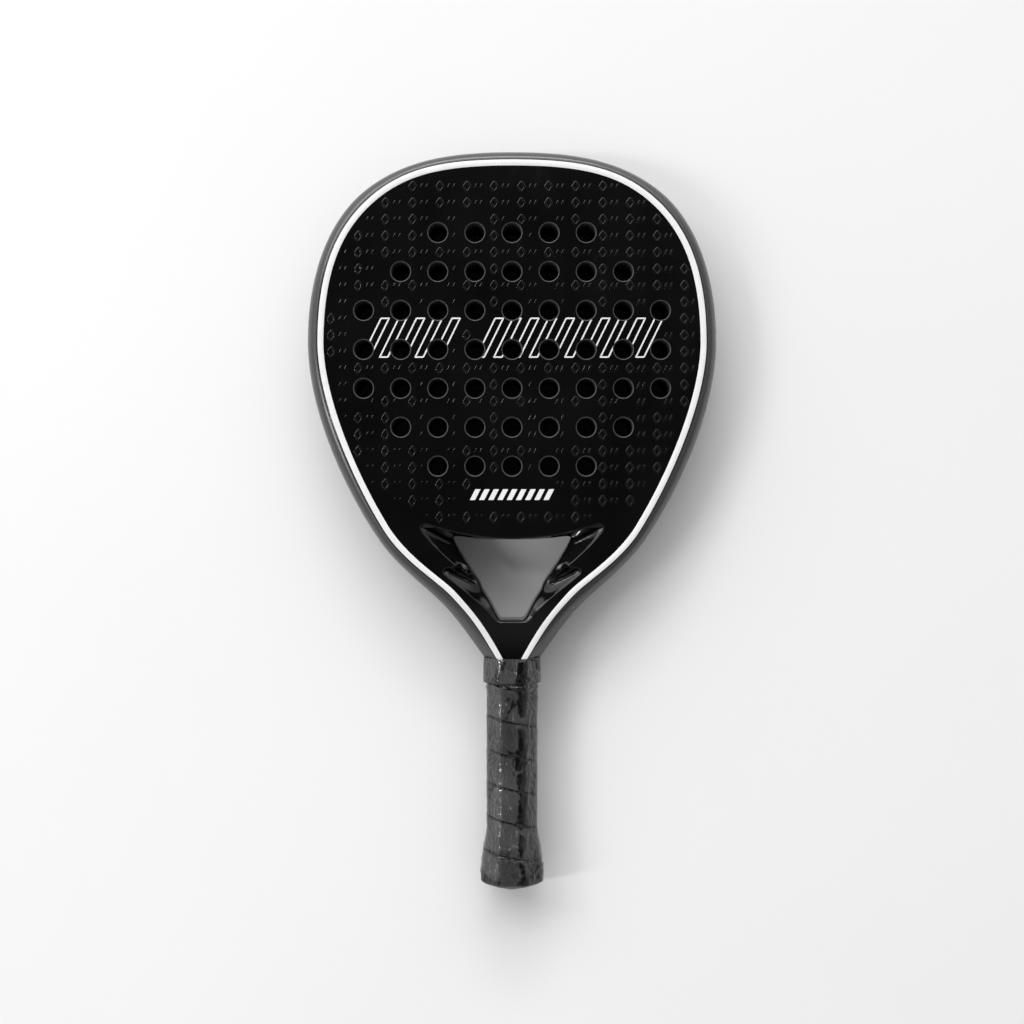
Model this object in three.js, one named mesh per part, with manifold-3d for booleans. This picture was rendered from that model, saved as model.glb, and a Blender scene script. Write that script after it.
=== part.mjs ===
// A padel racket lying on its back face: X across the face, Y from the butt (-) to the crown (+),
// Z up through the thickness. Millimetres. The back face rests on z = 0 and the front face is at z = 38.
import * as THREE from "three";
import { ConvexGeometry } from "three/addons/geometries/ConvexGeometry.js";
import { TessellateModifier } from "three/addons/modifiers/TessellateModifier.js";
import { mergeVertices } from "three/addons/utils/BufferGeometryUtils.js";
import Module from "manifold-3d";

const wasm = await Module();
wasm.setup();
const { Manifold, Mesh } = wasm;

// Overall sizes.
const THICKNESS = 38;
const MID_Z = THICKNESS / 2;
const GAP = 0.3; // clearance between neighbouring pieces

// Half outlines from the crown down to the collar, as chains of cubic Bezier segments (x >= 0).
const SILHOUETTE = [
  [0, 227.5], [39.7, 227.5], [66.8, 222.1], [89.6, 204.7],
  [113.8, 186.1], [125.9, 150.8], [125.9, 111.2],
  [125.9, 66.1], [100.9, 16.3], [82, -11.3],
  [71.4, -26.7], [55.2, -38.7], [44.9, -48.8],
  [33.4, -60], [26.3, -71.5], [16.7, -84.4],
];
const BORDER_EDGE = [
  [0, 220.5], [39.9, 220.5], [63.7, 215.9], [84, 199.5],
  [108.4, 179.7], [118.4, 150.8], [118.4, 109.4],
  [118.4, 70.1], [91.8, 16.1], [77.3, -6.3],
  [65.9, -24], [47.3, -34.8], [38, -44.3],
  [23.2, -59.6], [19.1, -67.4], [9.1, -84.4],
];
const STEPS = 6; // samples along each Bezier segment

// Laminated faces and the white border let into them.
const FACE_THICK = 1.2;
const FACE_MARGIN = 0.8; // black edge outside the border
const BORDER_WIDTH = 3.65;
const BORDER_THICK = 0.3;
const GROOVE_DEPTH = 0.5;
const FACE_END_Y = -88; // the throat skins end under the grip collar
const SKIN_GAP = 0.2; // between the hitting face and the throat skin below it

// Hole pattern: rows of holes on one grid.
const HOLE_ROWS = [5, 7, 9, 9, 9, 7, 5];
const HOLE_PITCH_X = 22.6;
const HOLE_PITCH_Y = 23.7;
const HOLE_CENTRE_Y = 104.9;
const HOLE_RADIUS = 5.75;
const CORE_HOLE_RADIUS = 6.3;
const HOLE_SIDES = 10;
const CORE_HOLE_SIDES = 8;

// Frame tube.
const TUBE_WALL = 1.6;
const TUBE_WIDTH_HEAD = 17;
const TUBE_WIDTH_THROAT = 12.6;
const TUBE_SIDE_HALF = 7; // half height of the upright outer wall at the head
const TUBE_TOP = MID_Z - FACE_THICK - GAP;

// The lower edge of the hitting face is an arc about a point on the centre line.
const ARC_CENTRE_Y = 148.4;
const ARC_RADIUS = 159;
const BRIDGE_LAP = 3.5; // the bridge reaches this far up under the face

// Taper of the whole thickness through the throat.
const TAPER_FROM_Y = -35;
const TAPER_TO_Y = -90;
const TAPER_END = 0.735;
const TAPER_TRIANGLE = 10; // longest triangle side where flat pieces are bent to the taper

// Handle: an octagon with 45 degree bevels, given by the grip's outer surface.
const GRIP_HALF_X = 15.3;
const GRIP_HALF_Z = 13.75;
const GRIP_BEVEL = 8.03;
const BEVEL_PER_OFFSET = 2 - Math.SQRT2; // how much a bevel grows as its octagon is offset outwards
const GRIP_THICK = 2;
const SLEEVE_THICK = 1.4;
const FILM_THICK = 0.3;
const BUTT_Y = -227.5;

// Offsets of the grip's surface from the plain octagon, from the collar to the butt.
const GRIP_TOP_Y = -93;
const GRIP_END_Y = -220.8;
const FLARE = [[-190, 0], [-196, 0.7], [-200.6, 1.8], [-205.6, 2.4], [-210.6, 3.1], [-215.6, 3.7], [-220.8, 3.75]];

const lerp = (a, b, t) => a + (b - a) * t;
const smooth = (t) => t * t * (3 - 2 * t);
const clamp01 = (t) => Math.min(1, Math.max(0, t));

// 1 at the head, falling to TAPER_END where the handle begins.
function taper(y) {
  const t = smooth(clamp01((TAPER_FROM_Y - y) / (TAPER_FROM_Y - TAPER_TO_Y)));
  return lerp(1, TAPER_END, t);
}

const taperedZ = (y, z) => MID_Z + (z - MID_Z) * taper(y);

// ---- outlines -------------------------------------------------------------------------------

// Points along a chain of cubic Bezier segments.
function sampleChain(chain) {
  const points = [];
  for (let first = 0; first + 3 < chain.length; first += 3) {
    const [a, b, c, d] = chain.slice(first, first + 4).map((p) => new THREE.Vector2(...p));
    const piece = new THREE.CubicBezierCurve(a, b, c, d).getPoints(STEPS);
    points.push(...(first ? piece.slice(1) : piece));
  }
  return points;
}

const silhouette = sampleChain(SILHOUETTE);
const borderEdge = sampleChain(BORDER_EDGE);

// One station of the rim: a point of the silhouette, the direction in towards the face, and the
// distance from the silhouette to the edge of the face.
const stations = silhouette.map((outer, i) => {
  const inward = borderEdge[i].clone().sub(outer);
  const distance = inward.length();
  inward.normalize();
  return { outer, inward, toBorder: distance, toFace: distance - FACE_MARGIN };
});

// A point at a distance in from the silhouette.
const inFrom = (station, distance) => station.outer.clone().addScaledVector(station.inward, distance);

// Both halves of a line of points, from the left collar over the crown to the right collar.
function bothHalves(half) {
  const left = half.slice(1).reverse().map((p) => new THREE.Vector2(-p.x, p.y));
  return [...left, ...half];
}

// ---- solids ---------------------------------------------------------------------------------

// A manifold solid from a three.js geometry.
function toSolid(geometry) {
  const bare = new THREE.BufferGeometry().setAttribute("position", geometry.getAttribute("position"));
  if (geometry.index) bare.setIndex(geometry.index);
  const merged = mergeVertices(bare, 1e-4);
  return new Manifold(
    new Mesh({
      numProp: 3,
      vertProperties: new Float32Array(merged.attributes.position.array),
      triVerts: new Uint32Array(merged.index.array),
    }),
  );
}

function toGeometry(solid) {
  const mesh = solid.getMesh();
  const geometry = new THREE.BufferGeometry();
  const positions = new Float32Array(mesh.numVert * 3);
  for (let i = 0; i < mesh.numVert; i++)
    positions.set(mesh.vertProperties.subarray(i * mesh.numProp, i * mesh.numProp + 3), i * 3);
  geometry.setAttribute("position", new THREE.BufferAttribute(positions, 3));
  geometry.setIndex(new THREE.BufferAttribute(new Uint32Array(mesh.triVerts), 1));
  return geometry;
}

// A prism with the given outline, from z0 to z1.
function prism(points, z0, z1) {
  const shape = new THREE.Shape(points);
  const geometry = new THREE.ExtrudeGeometry(shape, { depth: z1 - z0, bevelEnabled: false });
  geometry.translate(0, 0, z0);
  return toSolid(geometry);
}

// An upright cylinder.
function post(x, y, radius, z0, z1, sides) {
  const geometry = new THREE.CylinderGeometry(radius, radius, z1 - z0, sides);
  geometry.rotateX(Math.PI / 2);
  geometry.translate(x, y, (z0 + z1) / 2);
  return toSolid(geometry);
}

function box(x0, x1, y0, y1, z0, z1) {
  const geometry = new THREE.BoxGeometry(x1 - x0, y1 - y0, z1 - z0);
  geometry.translate((x0 + x1) / 2, (y0 + y1) / 2, (z0 + z1) / 2);
  return toSolid(geometry);
}

// A skin through rings with equal numbers of points. A wrapped skin joins its last ring to its
// first, like a tube with a wall; otherwise both ends are closed with a fan about their middles.
function skin(rings, wrapped) {
  const count = rings[0].length;
  const positions = rings.flat(2);
  const index = [];
  const last = wrapped ? rings.length : rings.length - 1;
  for (let r = 0; r < last; r++) {
    const here = r * count;
    const next = ((r + 1) % rings.length) * count;
    for (let k = 0; k < count; k++) {
      const k1 = (k + 1) % count;
      index.push(here + k, here + k1, next + k1);
      index.push(here + k, next + k1, next + k);
    }
  }
  if (!wrapped)
    for (const [ring, start, turned] of [[rings[0], 0, true], [rings.at(-1), (rings.length - 1) * count, false]]) {
      const middle = positions.length / 3;
      for (let axis = 0; axis < 3; axis++)
        positions.push(ring.reduce((sum, p) => sum + p[axis], 0) / count);
      for (let k = 0; k < count; k++) {
        const pair = [start + k, start + ((k + 1) % count)];
        if (turned) pair.reverse();
        index.push(middle, ...pair);
      }
    }
  const geometry = new THREE.BufferGeometry();
  geometry.setAttribute("position", new THREE.BufferAttribute(new Float32Array(positions), 3));
  geometry.setIndex(index);
  const made = toSolid(geometry);
  if (made.volume() > 0) return made;
  geometry.setIndex(index.slice().reverse());
  return toSolid(geometry);
}

// The same solid carried by a matrix.
function carried(solid, matrix) {
  const geometry = toGeometry(solid);
  geometry.applyMatrix4(matrix);
  if (matrix.determinant() < 0) geometry.setIndex([...geometry.index.array].reverse());
  return toSolid(geometry);
}

// A half turn about the racket's long axis, which carries the front face onto the back face.
const TURN_OVER = new THREE.Matrix4().makeRotationY(Math.PI).setPosition(0, 0, THICKNESS);
const MIRROR_X = new THREE.Matrix4().makeScale(-1, 1, 1);

const otherFace = (solid) => carried(solid, TURN_OVER);
const otherSide = (solid) => carried(solid, MIRROR_X);

// Bends a flat solid to the taper of the throat, once its long triangles there are divided.
function tapered(solid) {
  const far = 400;
  const head = solid.intersect(box(-far, far, TAPER_FROM_Y, far, -far, far));
  const throat = toGeometry(solid.intersect(box(-far, far, -far, TAPER_FROM_Y, -far, far)));
  const divided = new TessellateModifier(TAPER_TRIANGLE, 12).modify(throat.toNonIndexed());
  const position = divided.getAttribute("position");
  for (let i = 0; i < position.count; i++)
    position.setZ(i, taperedZ(position.getY(i), position.getZ(i)));
  return head.add(toSolid(divided));
}

// ---- frame tube -----------------------------------------------------------------------------

// Sections of the tube, each in (distance in from the silhouette, height from mid thickness).
function tubeLoop(side, top, toFace, width, roundness) {
  const bevel = [0.3, 0.68].map((t) => {
    const angle = (t * Math.PI) / 2;
    const rounded = [toFace * (1 - Math.cos(angle)), lerp(side, top, Math.sin(angle))];
    const straight = [toFace * t, lerp(side, top, t)];
    return [lerp(straight[0], rounded[0], roundness), lerp(straight[1], rounded[1], roundness)];
  });
  const upper = [[0, side], ...bevel, [toFace, top], [width, top]];
  const lower = upper.map(([u, h]) => [u, -h]).reverse();
  return [...upper, ...lower];
}

// A loop of points moved in by a wall thickness.
function insetLoop(loop, wall) {
  return loop.map((point, i) => {
    const before = loop[(i + loop.length - 1) % loop.length];
    const after = loop[(i + 1) % loop.length];
    const e0 = new THREE.Vector2(point[0] - before[0], point[1] - before[1]).normalize();
    const e1 = new THREE.Vector2(after[0] - point[0], after[1] - point[1]).normalize();
    const n0 = new THREE.Vector2(e0.y, -e0.x);
    const n1 = new THREE.Vector2(e1.y, -e1.x);
    const share = wall / (1 + n0.dot(n1));
    return [point[0] + (n0.x + n1.x) * share, point[1] + (n0.y + n1.y) * share];
  });
}

// Past the collar the two legs run straight down inside the handle sleeve.
const LEG_OUTER_X = GRIP_HALF_X - GRIP_THICK - SLEEVE_THICK - 2 * GAP - 0.05;
const LEG_TOP = GRIP_HALF_Z - GRIP_THICK - SLEEVE_THICK - 2 * GAP - 0.05;
const LEG_BEVEL = GRIP_BEVEL - (GRIP_THICK + SLEEVE_THICK + 2 * GAP + 0.05) * BEVEL_PER_OFFSET;
const LEG_END_Y = -130;
const LEGS = [
  { y: -89, t: 0.45 },
  { y: -94.5, t: 1 },
  { y: LEG_END_Y, t: 1 },
];

const tubeSections = stations.map((station) => {
  const y = station.outer.y;
  const throat = smooth(clamp01((30 - y) / 60));
  const k = taper(y);
  return {
    outer: station.outer,
    inward: station.inward,
    side: TUBE_SIDE_HALF * lerp(1, 0.85, clamp01(-y / 84)) * k,
    top: TUBE_TOP * k,
    toFace: station.toFace,
    width: lerp(TUBE_WIDTH_HEAD, TUBE_WIDTH_THROAT, throat),
    roundness: 1 - smooth(clamp01((-40 - y) / 40)),
  };
});

const collarSection = tubeSections.at(-1);
const legSection = {
  side: LEG_TOP - LEG_BEVEL,
  top: LEG_TOP,
  toFace: LEG_BEVEL,
  width: LEG_OUTER_X - 0.4,
};
for (const { y, t } of LEGS) {
  const section = { outer: new THREE.Vector2(lerp(collarSection.outer.x, LEG_OUTER_X, t), y), roundness: 0 };
  section.inward = collarSection.inward.clone().lerp(new THREE.Vector2(-1, 0), t).normalize();
  for (const key of ["side", "top", "toFace", "width"]) section[key] = lerp(collarSection[key], legSection[key], t);
  tubeSections.push(section);
}

function tubeRing(section, inset, mirrored) {
  let loop = tubeLoop(section.side, section.top, section.toFace, section.width, section.roundness);
  if (inset) loop = insetLoop(loop, inset);
  return loop.map(([u, h]) => {
    const p = section.outer.clone().addScaledVector(section.inward, u);
    return [mirrored ? -p.x : p.x, p.y, MID_Z + h];
  });
}

function frameTube() {
  const path = [
    ...tubeSections.slice(1).reverse().map((section) => [section, true]),
    ...tubeSections.map((section) => [section, false]),
  ];
  const outside = path.map(([section, mirrored]) => tubeRing(section, 0, mirrored));
  const inside = path.map(([section, mirrored]) => tubeRing(section, TUBE_WALL, mirrored)).reverse();
  return skin([...outside, ...inside], true);
}

// Everything inside the tube's inner wall, from z0 to z1.
function insideTube(z0, z1) {
  const wall = tubeSections
    .filter((section) => section.outer.y > -88)
    .map((section) => section.outer.clone().addScaledVector(section.inward, section.width + GAP));
  return prism(bothHalves(wall), z0, z1);
}

// ---- head -----------------------------------------------------------------------------------

function holeCentres() {
  const centres = [];
  HOLE_ROWS.forEach((count, row) => {
    const y = HOLE_CENTRE_Y + ((HOLE_ROWS.length - 1) / 2 - row) * HOLE_PITCH_Y;
    for (let i = 0; i < count; i++) centres.push([(i - (count - 1) / 2) * HOLE_PITCH_X, y]);
  });
  return centres;
}

// Cuts the whole hole pattern through a solid.
function perforated(solid, radius, sides) {
  return holeCentres().reduce((rest, [x, y]) => rest.subtract(post(x, y, radius, -5, 45, sides)), solid);
}

// Half of the cut-out of the faces over the throat bridge: two stepped gills on each side.
const CUTOUT = [
  [55.6, -3.2], [54.8, -5.6], [48.4, -13.1], [39, -22], [31.5, -28.4],
  [36.5, -28], [41, -28.9], [41.8, -31], [35.3, -36.4], [28.5, -41.8],
  [21.8, -47.6], [14.5, -54.4], [12.3, -57.8], [8.7, -61.3],
];
const ARC_TIP_X = 53;
const ARC_STEPS = 8;

const arcY = (x, radius) => ARC_CENTRE_Y - Math.sqrt(radius * radius - x * x);

function cutoutPrism(z0, z1) {
  const half = [];
  for (let i = 0; i <= ARC_STEPS; i++) {
    const x = (ARC_TIP_X * i) / ARC_STEPS;
    half.push(new THREE.Vector2(x, arcY(x, ARC_RADIUS)));
  }
  half.push(...CUTOUT.map((p) => new THREE.Vector2(...p)));
  const left = half.slice(1).reverse().map((p) => new THREE.Vector2(-p.x, p.y));
  return prism([...left, ...half], z0, z1);
}

// The white border's path: the sampled edge, carried on under the collar.
const borderStations = [
  ...stations.map((s) => ({ outer: inFrom(s, s.toBorder), inward: s.inward })),
  { outer: new THREE.Vector2(7.2, FACE_END_Y + 0.3), inward: stations.at(-1).inward },
];

// A strip along the border between two heights, widened on both sides by a margin.
function borderStrip(z0, z1, margin) {
  const ring = (station, mirrored) => {
    const at = (distance, z) => {
      const p = station.outer.clone().addScaledVector(station.inward, distance);
      return [mirrored ? -p.x : p.x, p.y, taperedZ(p.y, z)];
    };
    return [at(-margin, z0), at(-margin, z1), at(BORDER_WIDTH + margin, z1), at(BORDER_WIDTH + margin, z0)];
  };
  const rings = [
    ...borderStations.slice(1).reverse().map((station) => ring(station, true)),
    ...borderStations.map((station) => ring(station, false)),
  ];
  return skin(rings, false);
}

// The flat outline shared by the hitting face and the throat skin below it.
function facePlane() {
  const half = stations.map((s) => inFrom(s, s.toFace));
  half.push(new THREE.Vector2(8.4, FACE_END_Y));
  return prism(bothHalves(half), THICKNESS - FACE_THICK, THICKNESS);
}

const arcDisc = (change) => post(0, ARC_CENTRE_Y, ARC_RADIUS + change, -5, 45, 120);
const withBorderGroove = (solid) => solid.subtract(borderStrip(THICKNESS - GROOVE_DEPTH, THICKNESS + 3, 0.25));

// The perforated sheet over the head, down to the arc.
function face() {
  const sheet = facePlane().intersect(arcDisc(-SKIN_GAP / 2));
  return withBorderGroove(perforated(sheet, HOLE_RADIUS, HOLE_SIDES));
}

// The sheet from the arc down to the collar: two arms round the cut-out over the bridge.
function throatSkin() {
  const sheet = facePlane().subtract(arcDisc(SKIN_GAP / 2)).subtract(cutoutPrism(30, 45));
  return withBorderGroove(tapered(sheet));
}

function coreFoam() {
  const low = FACE_THICK + GAP;
  const disc = post(0, ARC_CENTRE_Y, ARC_RADIUS - BRIDGE_LAP - GAP, -5, 45, 120);
  return perforated(insideTube(low, THICKNESS - low).intersect(disc), CORE_HOLE_RADIUS, CORE_HOLE_SIDES);
}

// ---- throat bridge --------------------------------------------------------------------------

// Half of the opening through the throat.
const OPENING = [
  [0, -11.3], [18, -10.7], [34.2, -8.9], [36.3, -10.6], [34.1, -15.1], [28.8, -23.8], [22.9, -32.6],
  [19.5, -37.6], [17.9, -42], [13.7, -48.6], [8.9, -57.8], [7.4, -60.4],
];
const SCOOP_TOP = THICKNESS + 3;

// Corners of the two scoops on each side, each with the height of its floor.
const UPPER_SCOOP = [
  [53, -1.5, 34.5], [55.6, -3.2, 34.5], [54.8, -5.6, 34.5],
  [31.5, -28.4, 30], [19, -34, 26], [16, -9.5, 28],
];
const LOWER_SCOOP = [
  [41, -28.9, 34], [41.8, -31, 34], [30, -28.2, 29],
  [12.3, -57.8, 31], [8.7, -61, 31], [6, -58, 29], [18, -36, 25],
];

// A scoop falls from the edge of a gill towards the opening: the hull of a roof and a sloping floor.
function scoop(plan) {
  const points = plan.flatMap(([x, y, floor]) => [
    new THREE.Vector3(x, y, floor),
    new THREE.Vector3(x, y, SCOOP_TOP),
  ]);
  return toSolid(new ConvexGeometry(points));
}

function throatBridge() {
  const low = FACE_THICK + GAP;
  const opening = OPENING.map((p) => new THREE.Vector2(...p));
  const left = opening.slice(1).reverse().map((p) => new THREE.Vector2(-p.x, p.y));
  const upper = scoop(UPPER_SCOOP);
  const lower = scoop(LOWER_SCOOP);
  let bridge = insideTube(low, THICKNESS - low)
    .subtract(post(0, ARC_CENTRE_Y, ARC_RADIUS - BRIDGE_LAP, -5, 45, 120))
    .subtract(prism([...left, ...opening], -5, 45));
  for (const cutter of [upper, lower])
    for (const half of [cutter, otherSide(cutter)]) bridge = bridge.subtract(half).subtract(otherFace(half));
  return tapered(bridge);
}

// ---- handle ---------------------------------------------------------------------------------

// An octagonal ring at a height y, offset from the grip's plain outer octagon.
function octagon(y, offset, extra = {}) {
  const hx = GRIP_HALF_X + offset + (extra.x ?? 0);
  const hz = GRIP_HALF_Z + offset + (extra.z ?? 0);
  const bevel = extra.bevel ?? GRIP_BEVEL + offset * BEVEL_PER_OFFSET;
  return [
    [hx, hz - bevel], [hx - bevel, hz], [bevel - hx, hz], [-hx, hz - bevel],
    [-hx, bevel - hz], [bevel - hx, -hz], [hx - bevel, -hz], [hx, bevel - hz],
  ].map(([x, z]) => [x, y, MID_Z + z]);
}

// A round ring with as many points as an octagonal one.
function roundRing(y, radius) {
  return Array.from({ length: 8 }, (_, k) => {
    const angle = ((k * 45 + 22.5) * Math.PI) / 180;
    return [radius * Math.cos(angle), y, MID_Z + radius * Math.sin(angle)];
  });
}

// A sleeve between an outer and an inner surface, each a list of [y, offset, extra].
function sleeve(outer, inner) {
  return skin([...outer.map((row) => octagon(...row)), ...inner.slice().reverse().map((row) => octagon(...row))], true);
}

const flareUntil = (y) => FLARE.filter((row) => row[0] >= y);

const CORE_OFFSET = -(GRIP_THICK + SLEEVE_THICK + 2 * GAP + 0.05);
const SLEEVE_INSIDE = -(GRIP_THICK + SLEEVE_THICK + GAP);
const SLEEVE_OUTSIDE = -(GRIP_THICK + GAP);
const SLEEVE_TOP_Y = -95;
const SLEEVE_END_Y = -214.5;
const CAP_TOP_Y = -199;
const CAP_FLOOR_Y = -215;
const CORD_HOLE_RADIUS = 4.5;
const CAP_DOME = [[-222.6, 2.9], [-224, 0.8], [-225.4, -3], [-226.6, -7.2]]; // the rounded end of the cap

const handleSleeve = () =>
  sleeve(
    [[SLEEVE_TOP_Y, SLEEVE_OUTSIDE], [SLEEVE_END_Y, SLEEVE_OUTSIDE]],
    [[SLEEVE_TOP_Y, SLEEVE_INSIDE], [SLEEVE_END_Y, SLEEVE_INSIDE]],
  );

const handleCore = () =>
  skin(
    [
      octagon(LEG_END_Y - GAP, CORE_OFFSET),
      octagon(SLEEVE_END_Y, CORE_OFFSET),
      roundRing(SLEEVE_END_Y, 3.5),
      roundRing(LEG_END_Y - GAP, 3.5),
    ],
    true,
  );

function baseGrip() {
  const outer = [[GRIP_TOP_Y, 0], ...FLARE];
  const lined = flareUntil(CAP_TOP_Y + 3).map(([y]) => [y, -GRIP_THICK]);
  const overCap = FLARE.filter((row) => row[0] < CAP_TOP_Y).map(([y, e]) => [y, e - GRIP_THICK]);
  return sleeve(outer, [[GRIP_TOP_Y, -GRIP_THICK], ...lined, ...overCap]);
}

function buttCap() {
  const overCap = FLARE.filter((row) => row[0] < CAP_TOP_Y).map(([y, e]) => [y, e - GRIP_THICK - GAP]);
  const outer = [
    [CAP_TOP_Y, -1.25], ...overCap,
    [GRIP_END_Y - GAP, 1.4], [GRIP_END_Y - GAP, 3.75], ...CAP_DOME,
  ].map((row) => octagon(...row));
  return skin(
    [
      ...outer,
      roundRing(BUTT_Y, CORD_HOLE_RADIUS),
      roundRing(CAP_FLOOR_Y, CORD_HOLE_RADIUS),
      octagon(CAP_FLOOR_Y, SLEEVE_OUTSIDE + GAP),
      octagon(CAP_TOP_Y, SLEEVE_OUTSIDE + GAP),
    ],
    true,
  );
}

const TAPE_THICK = 0.4;
const TAPE_OFFSET = 0.2;
const COLLAR_TOP_Y = -86;
const COLLAR_END_Y = -99.3;
const COLLAR_INSIDE = 0.9;
const COLLAR_THICK = 1;

const finishingTape = () =>
  sleeve(
    [[GRIP_TOP_Y - 0.5, TAPE_OFFSET + TAPE_THICK], [COLLAR_END_Y + 0.5, TAPE_OFFSET + TAPE_THICK]],
    [[GRIP_TOP_Y - 0.5, TAPE_OFFSET], [COLLAR_END_Y + 0.5, TAPE_OFFSET]],
  );

// The collar's upper edge is opened out a little where it laps over the end of the frame.
const COLLAR_MOUTH = { x: 0.2, bevel: 6.3 };

const gripCollar = () =>
  sleeve(
    [
      [COLLAR_TOP_Y, COLLAR_INSIDE + COLLAR_THICK, COLLAR_MOUTH],
      [-93, COLLAR_INSIDE + COLLAR_THICK],
      [COLLAR_END_Y, COLLAR_INSIDE + COLLAR_THICK],
    ],
    [
      [COLLAR_TOP_Y, COLLAR_INSIDE, COLLAR_MOUTH],
      [-93, COLLAR_INSIDE],
      [COLLAR_END_Y, COLLAR_INSIDE],
    ],
  );

const FILM_TOP_Y = -84;
const FILM_END_Y = -222;

function gripFilm() {
  const wraps = COLLAR_INSIDE + COLLAR_THICK;
  const under = [
    [FILM_TOP_Y, wraps, COLLAR_MOUTH], [COLLAR_TOP_Y, wraps, COLLAR_MOUTH], [-93, wraps],
    [COLLAR_END_Y - 0.2, wraps], [COLLAR_END_Y - 1.6, 0],
    ...FLARE.slice(0, -1), [FILM_END_Y, FLARE.at(-1)[1]],
  ];
  const moved = (rows, by) => rows.map(([y, e, extra]) => [y, e + by, extra]);
  return sleeve(moved(under, 0.2 + FILM_THICK), moved(under, 0.2));
}

// ---- staples --------------------------------------------------------------------------------

// A staple with its crown on the cap's skirt and its legs driven in towards the handle's core.
const STAPLE_Y = -203;
const STAPLE_SPAN = 6;
const STAPLE_WIRE = 0.8;
const STAPLE_DEPTH = 4;

function stapleSolid(crownOut, margin) {
  const half = STAPLE_WIRE / 2 + margin;
  const legs = [-1, 1].map((side) => {
    const x = (side * STAPLE_SPAN) / 2;
    const y = STAPLE_Y;
    return box(x - half, x + half, y - half, y + half, crownOut - STAPLE_DEPTH - margin, crownOut);
  });
  const reach = STAPLE_SPAN / 2 + half;
  const low = margin ? crownOut - 0.1 : crownOut - 0.01;
  const high = margin ? crownOut + 1 : crownOut + 0.35;
  const crown = box(-reach, reach, STAPLE_Y - half, STAPLE_Y + half, low, high);
  return legs.reduce((whole, leg) => whole.add(leg), crown);
}

// The four facets that take a staple: the turn about the handle's axis, and how far out each is.
const STAPLE_FACETS = [
  { name: "cap_staple_front", turn: 0, out: GRIP_HALF_Z },
  { name: "cap_staple_left", turn: -Math.PI / 2, out: GRIP_HALF_X },
  { name: "cap_staple_back", turn: Math.PI, out: GRIP_HALF_Z },
  { name: "cap_staple_right", turn: Math.PI / 2, out: GRIP_HALF_X },
];
const SKIRT_OUT = -0.35;
const STAPLE_CLEARANCE = 0.3;

const stapleWays = STAPLE_FACETS.map(({ turn, out }) =>
  carried(
    stapleSolid(out + SKIRT_OUT, STAPLE_CLEARANCE),
    new THREE.Matrix4().makeRotationY(turn).setPosition(0, 0, MID_Z),
  ),
);
const withStapleWays = (solid) => stapleWays.reduce((rest, way) => rest.subtract(way), solid);

// ---- assembly -------------------------------------------------------------------------------

const FINISHES = {
  frame: { color: 0x8c8f92, roughness: 0.45, metalness: 0.1 },
  foam: { color: 0x1b1b1c, roughness: 0.9, metalness: 0 },
  face: { color: 0x0c0d0e, roughness: 0.15, metalness: 0 },
  border: { color: 0xf2f2f0, roughness: 0.3, metalness: 0 },
  bridge: { color: 0x101112, roughness: 0.12, metalness: 0 },
  sleeve: { color: 0x22242a, roughness: 0.6, metalness: 0 },
  grip: { color: 0x2a2b2c, roughness: 0.7, metalness: 0 },
  tape: { color: 0x18181a, roughness: 0.5, metalness: 0 },
  collar: { color: 0x1e1f20, roughness: 0.6, metalness: 0 },
  film: { color: 0xd8dadb, roughness: 0.1, metalness: 0, transparent: true, opacity: 0.3 },
  cap: { color: 0x141516, roughness: 0.5, metalness: 0 },
  steel: { color: 0xb8babd, roughness: 0.3, metalness: 1 },
};

function piece(name, solid, finish) {
  const mesh = new THREE.Mesh(toGeometry(solid), new THREE.MeshStandardMaterial(FINISHES[finish]));
  mesh.name = name;
  return mesh;
}

// Places a mesh on the back face, as the front one turned over.
function onBack(mesh) {
  mesh.rotation.y = Math.PI;
  mesh.position.z = THICKNESS;
  return mesh;
}

const faceSolid = face();
const skinSolid = throatSkin();
const borderSolid = borderStrip(THICKNESS - BORDER_THICK, THICKNESS, 0);

const head = new THREE.Group();
head.add(piece("frame_tube", frameTube(), "frame"));
head.add(piece("core_foam", coreFoam(), "foam"));
head.add(piece("front_face", faceSolid, "face"));
head.add(onBack(piece("back_face", faceSolid, "face")));
head.add(piece("front_throat_skin", skinSolid, "face"));
head.add(onBack(piece("back_throat_skin", skinSolid, "face")));
head.add(piece("front_border_decal", borderSolid, "border"));
head.add(onBack(piece("back_border_decal", borderSolid, "border")));
head.add(piece("throat_bridge", throatBridge(), "bridge"));

const handle = new THREE.Group();
handle.add(piece("handle_core", withStapleWays(handleCore()), "foam"));
handle.add(piece("handle_sleeve", withStapleWays(handleSleeve()), "sleeve"));
handle.add(piece("base_grip", baseGrip(), "grip"));
handle.add(piece("finishing_tape", finishingTape(), "tape"));
handle.add(piece("grip_collar", gripCollar(), "collar"));
handle.add(piece("grip_film", gripFilm(), "film"));

const butt = new THREE.Group();
butt.add(piece("butt_cap", withStapleWays(buttCap()), "cap"));
for (const { name, turn, out } of STAPLE_FACETS) {
  const mesh = piece(name, stapleSolid(out + SKIRT_OUT, 0), "steel");
  mesh.rotation.y = turn;
  mesh.position.z = MID_Z;
  butt.add(mesh);
}
handle.add(butt);

const racket = new THREE.Group();
racket.name = "padel_racket";
racket.add(head, handle);

export default racket;
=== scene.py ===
"""A padel racket on its back face: surfaces, materials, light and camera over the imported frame."""

import math

import bmesh
import bpy
import numpy as np
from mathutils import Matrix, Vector, noise
from mathutils.geometry import delaunay_2d_cdt

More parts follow.
